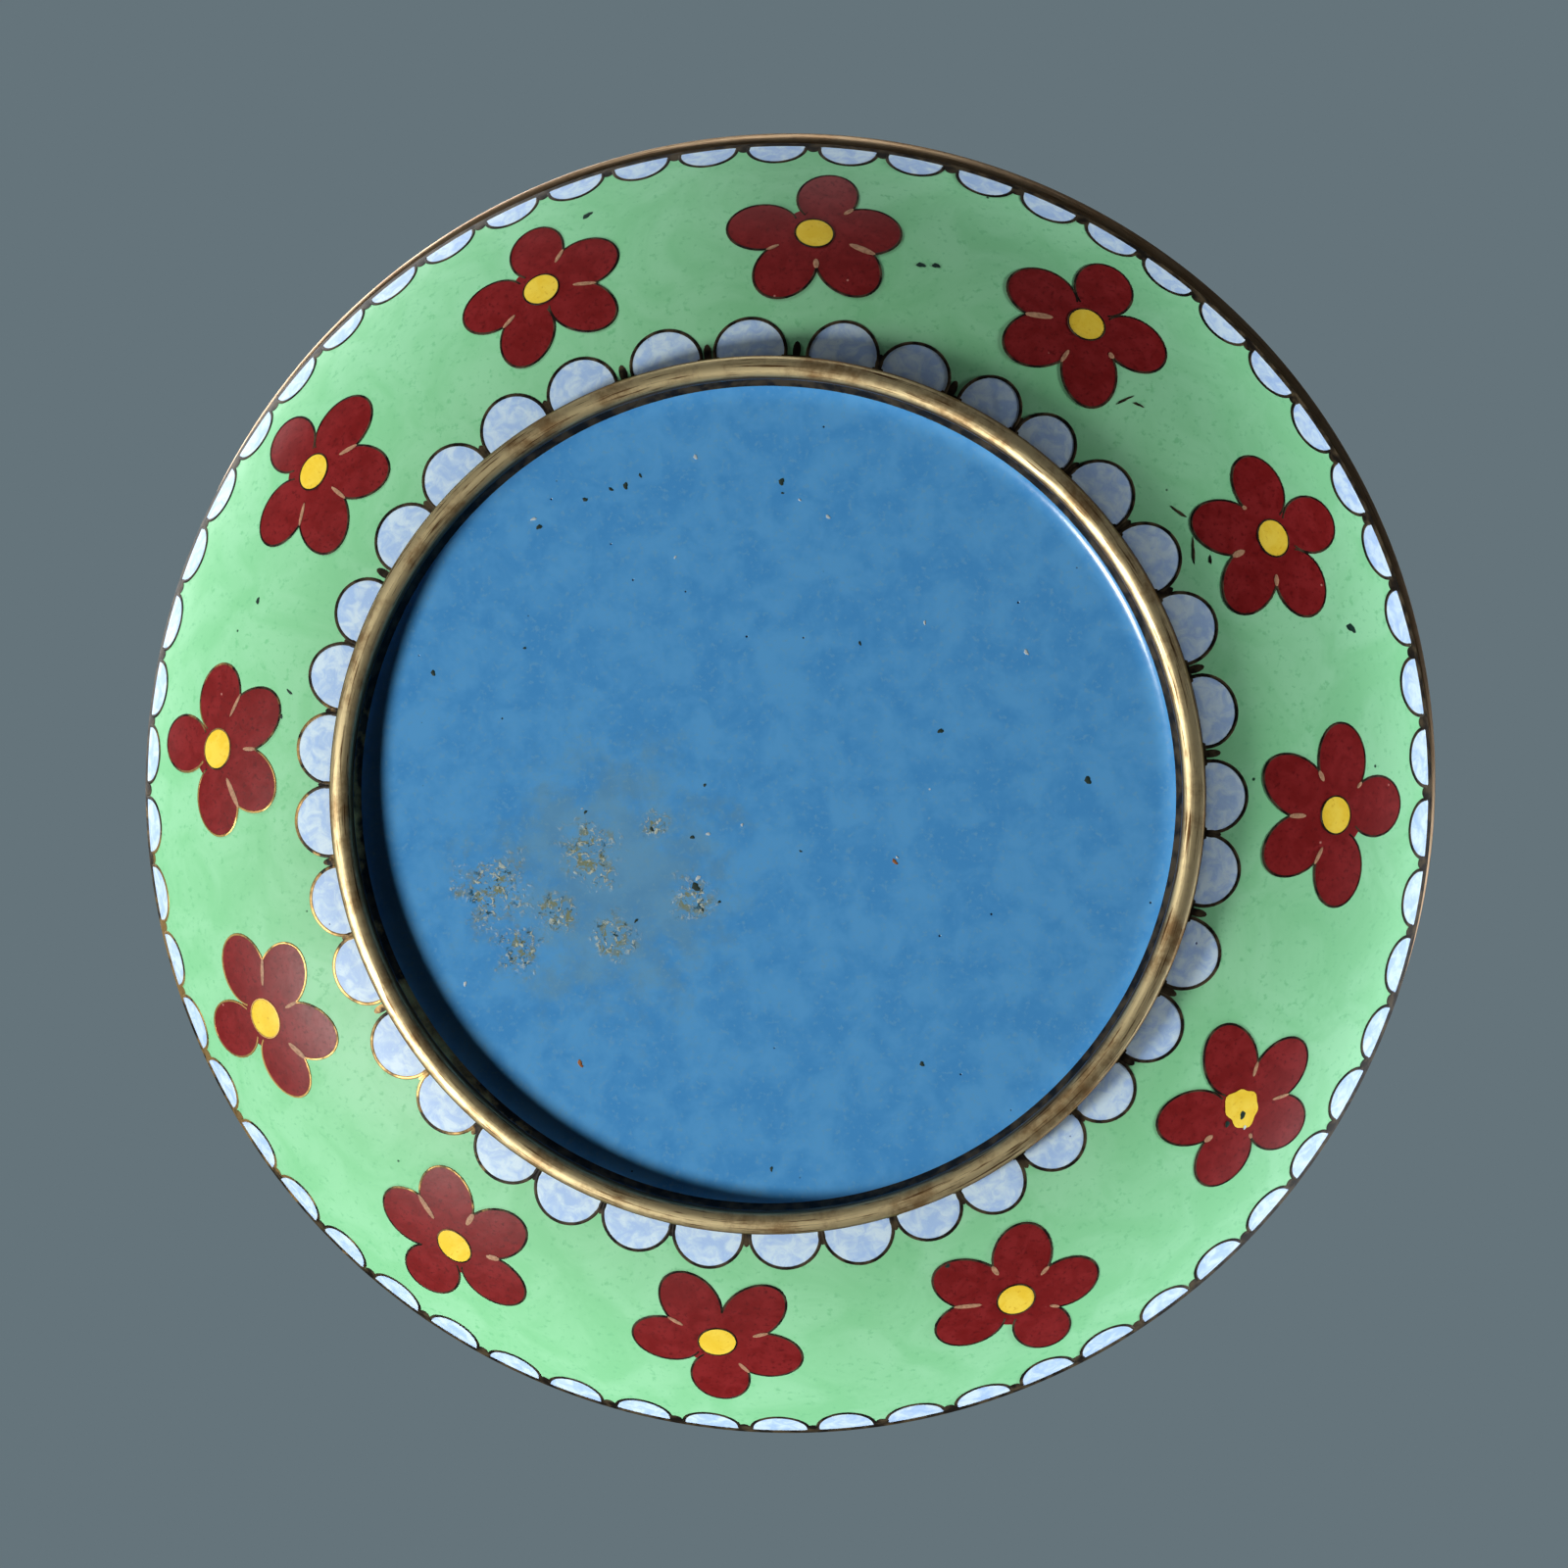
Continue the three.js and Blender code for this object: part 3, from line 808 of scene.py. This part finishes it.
for key, layer in (("wallDark", "dark"), ("wallScraps", "wire")):
    for angle, distance, long, wide, turn in flaws[key]:
        outline = ellipseOutline(long * mm, wide * mm, math.radians(turn), ragged=0.25)
        stampCell(baseLayers[layer], dot, outline, (baseSkin, -math.radians(angle), distance * mm), lift=-0.01 * mm)
for key, layer in (("plateDark", "dark"), ("platePale", "pale"), ("plateRust", "rust")):
    for x, y, reach in flaws[key]:
        place = (x * mm, y * mm)
        outline = ellipseOutline(reach * mm, reach * rng.uniform(0.5, 0.9) * mm, rng.uniform(0, 3), place, 0.25)
        stampCell(baseLayers[layer], dot, outline, (plateSkin, 0.0, None), place, -0.01 * mm)
finishLayers(baseLayers, "base")
print("base pattern laid")

# The lid's pattern isn't in the photo: the same flowers and rim scallops, with one flower in the middle
lidPattern = {"flowerCount": 12, "flowerRadius": 44.0 * mm, "middleSize": 1.25, "outerCount": 58, "turnSlip": 0.12}
lidSkin = makeSkin(domeArc, lidCentre, -1)
lidLayers = newLayers()
lidDistance = lidPattern["flowerRadius"] * 1.03
for index in range(lidPattern["flowerCount"]):
    headings = [math.pi / 2 + math.tau * petal / 5 + rng.uniform(-1, 1) * lidPattern["turnSlip"] for petal in range(5)]
    addFlower(lidLayers, (lidSkin, math.tau * (index + 0.5) / lidPattern["flowerCount"], lidDistance), headings,
              rng.uniform(0.97, 1.02), rng)
addFlower(lidLayers, (lidSkin, 0.0, None), [math.tau * petal / 5 for petal in range(5)], lidPattern["middleSize"], rng)
for index in range(lidPattern["outerCount"]):
    step = math.tau / lidPattern["outerCount"]
    addOuterScallop(lidLayers, lidSkin, step * (index + rng.uniform(-0.03, 0.03)),
                    scallop["outerWidth"] * rng.uniform(0.97, 1.02), scallop["outerHeight"] * rng.uniform(0.94, 1.06))
    addJoint(lidLayers, lidSkin, step * (index + 0.5))
addEdgeLine("lidRimLine", lidSkin, lidSkin["length"] - nearRim, lidSkin["length"] - farFromRim)
finishLayers(lidLayers, "lid")
print("lid pattern laid")

# Camera: below the box, at the photo's viewing angle
view = {"distance": 330 * mm, "tilt": 4.9, "towards": 17.7, "lens": 86.8, "aim": (1.87 * mm, -1.1 * mm, 0.0)}


def makeCamera():
    data = bpy.data.cameras.new("photoCamera")
    data.lens = view["lens"]
    data.sensor_width = 36
    camera = bpy.data.objects.new("photoCamera", data)
    bpy.context.scene.collection.objects.link(camera)
    tilt, towards = math.radians(view["tilt"]), math.radians(view["towards"])
    back = Vector((math.sin(tilt) * math.cos(towards), -math.sin(tilt) * math.sin(towards), -math.cos(tilt)))
    right = Vector((0, -1, 0)).cross(back).normalized()
    up = back.cross(right)
    camera.matrix_world = Matrix.Translation(Vector(view["aim"]) + back * view["distance"]) @ Matrix(
        (right, up, back)).transposed().to_4x4()
    bpy.context.scene.camera = camera


makeCamera()


def addLight(name, place, size, power, colour, glints):
    data = bpy.data.lights.new(name, "AREA")
    data.shape = "DISK"
    data.size = size
    data.energy = power
    data.color = hexColour(colour)[:3]
    light = bpy.data.objects.new(name, data)
    bpy.context.scene.collection.objects.link(light)
    light.location = place
    light.visible_camera = False
    light.visible_glossy = glints
    light.rotation_euler = (-Vector(place)).to_track_quat("-Z", "Y").to_euler()


# each light: the way that it comes from in the photo, how far off the view's axis, distance, size, watts, colour, and
# whether it glints in the enamel or only fills the shade
lights = {
    "window": (210, 53.5, 0.6, 0.13, 3.35, "#fffefa", True),
    "topLeftFill": (135, 94, 0.6, 0.08, 2.3, "#fbfdff", False),
    "topFill": (88, 87, 0.6, 0.05, 0.25, "#fbfdff", False),
    "topSkim": (95, 103, 0.6, 0.3, 0.32, "#fbfdff", True),
    "rightFill": (4, 93, 0.6, 0.08, 3.7, "#fbfdff", False),
    "lowRightFill": (322, 93, 0.6, 0.08, 0.1, "#fbfdff", False),
    "bottomFill": (276, 93, 0.6, 0.08, 2.1, "#fbfdff", False),
    "overhead": (150, 140, 0.6, 0.5, 2.4, "#ffffff", True),
    "overheadFill": (330, 118, 0.7, 0.6, 1.6, "#f4f8ff", True),
}
for name, (comesFrom, offAxis, far, size, watts, colour, glints) in lights.items():
    around, off = math.radians(comesFrom), math.radians(offAxis)
    addLight(name, (far * math.sin(off) * math.cos(around), -far * math.sin(off) * math.sin(around),
                    -far * math.cos(off)), size, watts, colour, glints)


# Pale matt paper for the floor, clear from behind
def paperMaterial():
    material, tree, shader, place = newMaterial("palePaper")
    shader.inputs["Base Color"].default_value = hexColour("#d9dadb")
    shader.inputs["Roughness"].default_value = 0.9
    clear = addNode(tree, "ShaderNodeBsdfTransparent")
    side = addNode(tree, "ShaderNodeNewGeometry", out="Backfacing")
    mix = addNode(tree, "ShaderNodeMixShader", {0: side, 1: shader.outputs[0], 2: clear})
    tree.links.new(mix, tree.nodes["Material Output"].inputs["Surface"])
    return material


def makeStage():
    # the floor is seen from above only, so that the view from below passes through it
    shape = bmesh.new()
    bmesh.ops.create_grid(shape, x_segments=1, y_segments=1, size=3.0)
    mesh = bpy.data.meshes.new("floor")
    shape.to_mesh(mesh)
    shape.free()
    floor = bpy.data.objects.new("floor", mesh)
    bpy.context.scene.collection.objects.link(floor)
    mesh.materials.append(paperMaterial())
    floor.visible_shadow = False
    floor.visible_diffuse = False
    floor.visible_glossy = False
    floor.visible_transmission = False
    world = bpy.data.worlds.new("studio")
    world.use_nodes = True
    tree = world.node_tree
    seen = tree.nodes["Background"]
    seen.inputs["Color"].default_value = hexColour("#65747b")
    dim = addNode(tree, "ShaderNodeBackground", {"Color": hexColour("#c4d0d8"), "Strength": 0.025})
    direct = addNode(tree, "ShaderNodeLightPath", out="Is Camera Ray")
    mix = addNode(tree, "ShaderNodeMixShader", {0: direct, 1: dim, 2: seen.outputs[0]})
    tree.links.new(mix, tree.nodes["World Output"].inputs["Surface"])
    bpy.context.scene.world = world
    bpy.context.scene.view_settings.view_transform = "Standard"


makeStage()
print("stage, camera and lights set")

bpy.context.view_layer.update()
